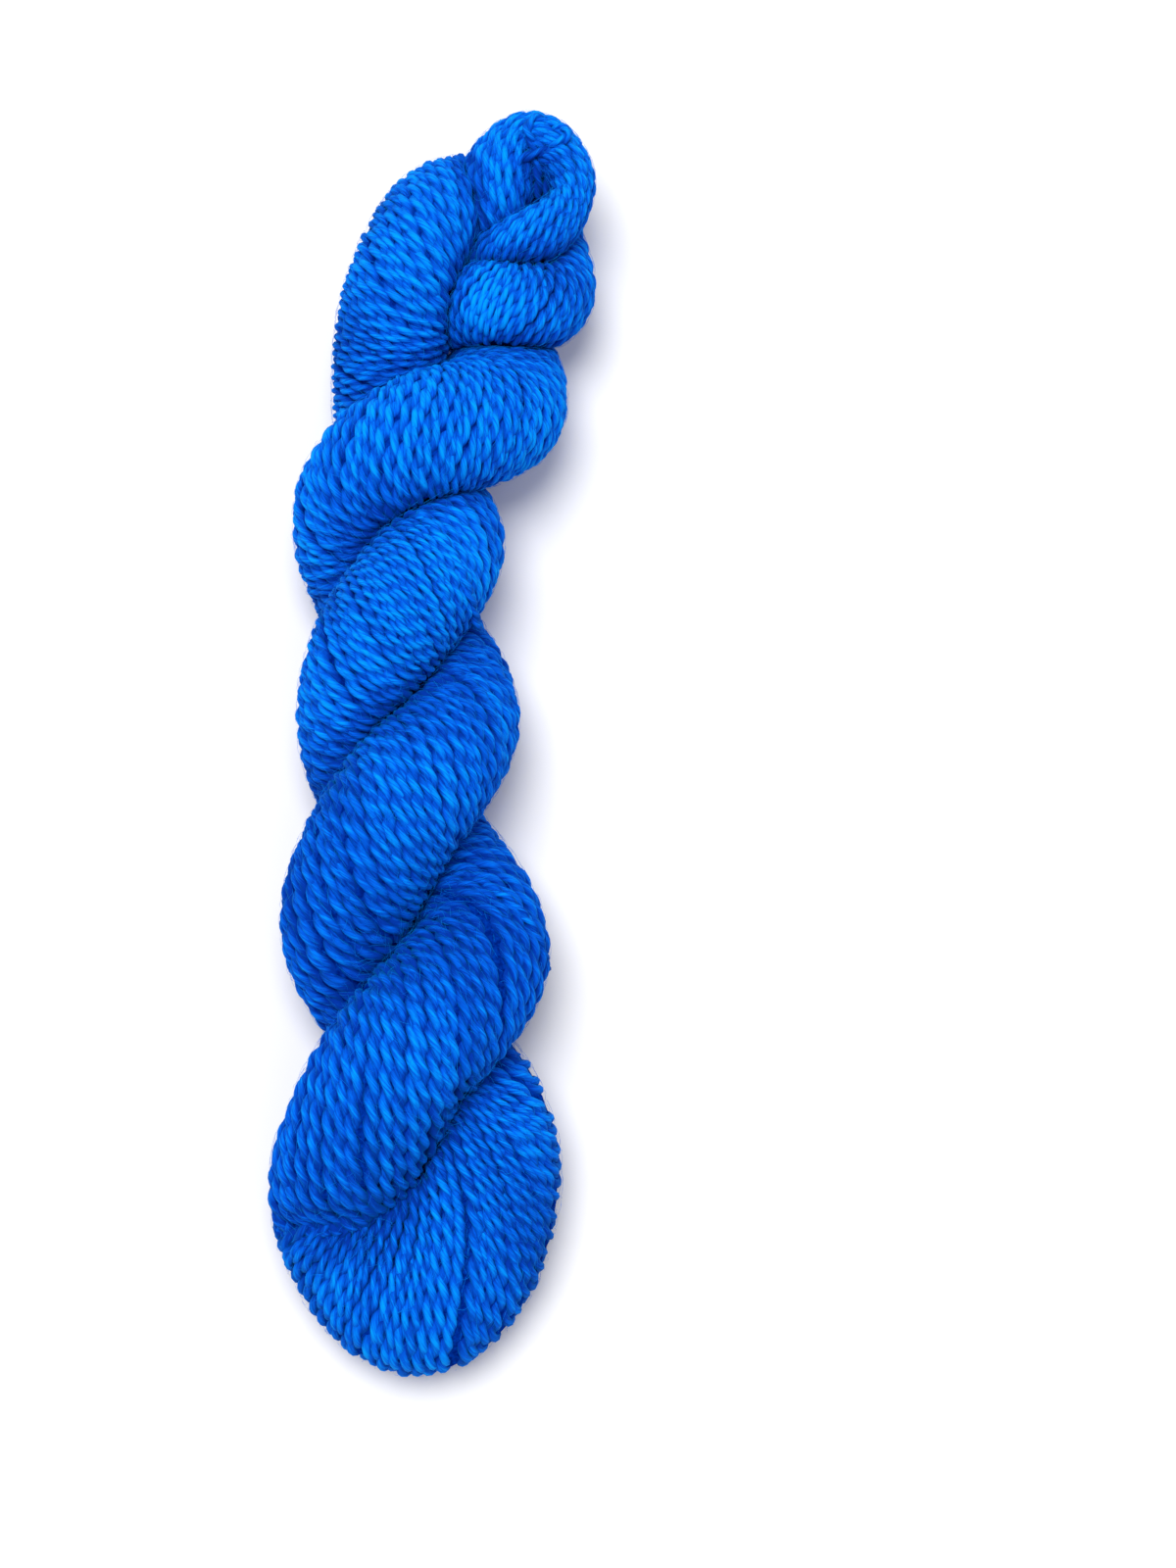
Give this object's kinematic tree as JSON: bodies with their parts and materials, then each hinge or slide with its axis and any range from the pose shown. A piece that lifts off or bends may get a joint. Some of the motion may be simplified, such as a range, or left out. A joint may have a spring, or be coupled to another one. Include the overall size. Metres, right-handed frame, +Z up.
{
  "type": "hank of yarn",
  "caption": "Twisted hank of blue plied wool yarn, lying flat: a skein twisted hard, folded in half and plied on itself, its end loop tucked through its eye.",
  "frame": {"origin": "centre of the bounding box's base, on the surface the hank lies on", "axes": "+Y along the hank, from the folded end towards the eye and its tucked loop; +X to the right, seen from above with the eye away from the viewer; +Z up from the surface"},
  "size_m": [0.0718, 0.292, 0.0459],
  "materials": {
    "yarn": "soft two-ply wool with a light halo of fibres, dyed in blues that vary along the yarn"
  },
  "bodies": {
    "root": {"hank": "yarn"}
  },
  "joints": []
}
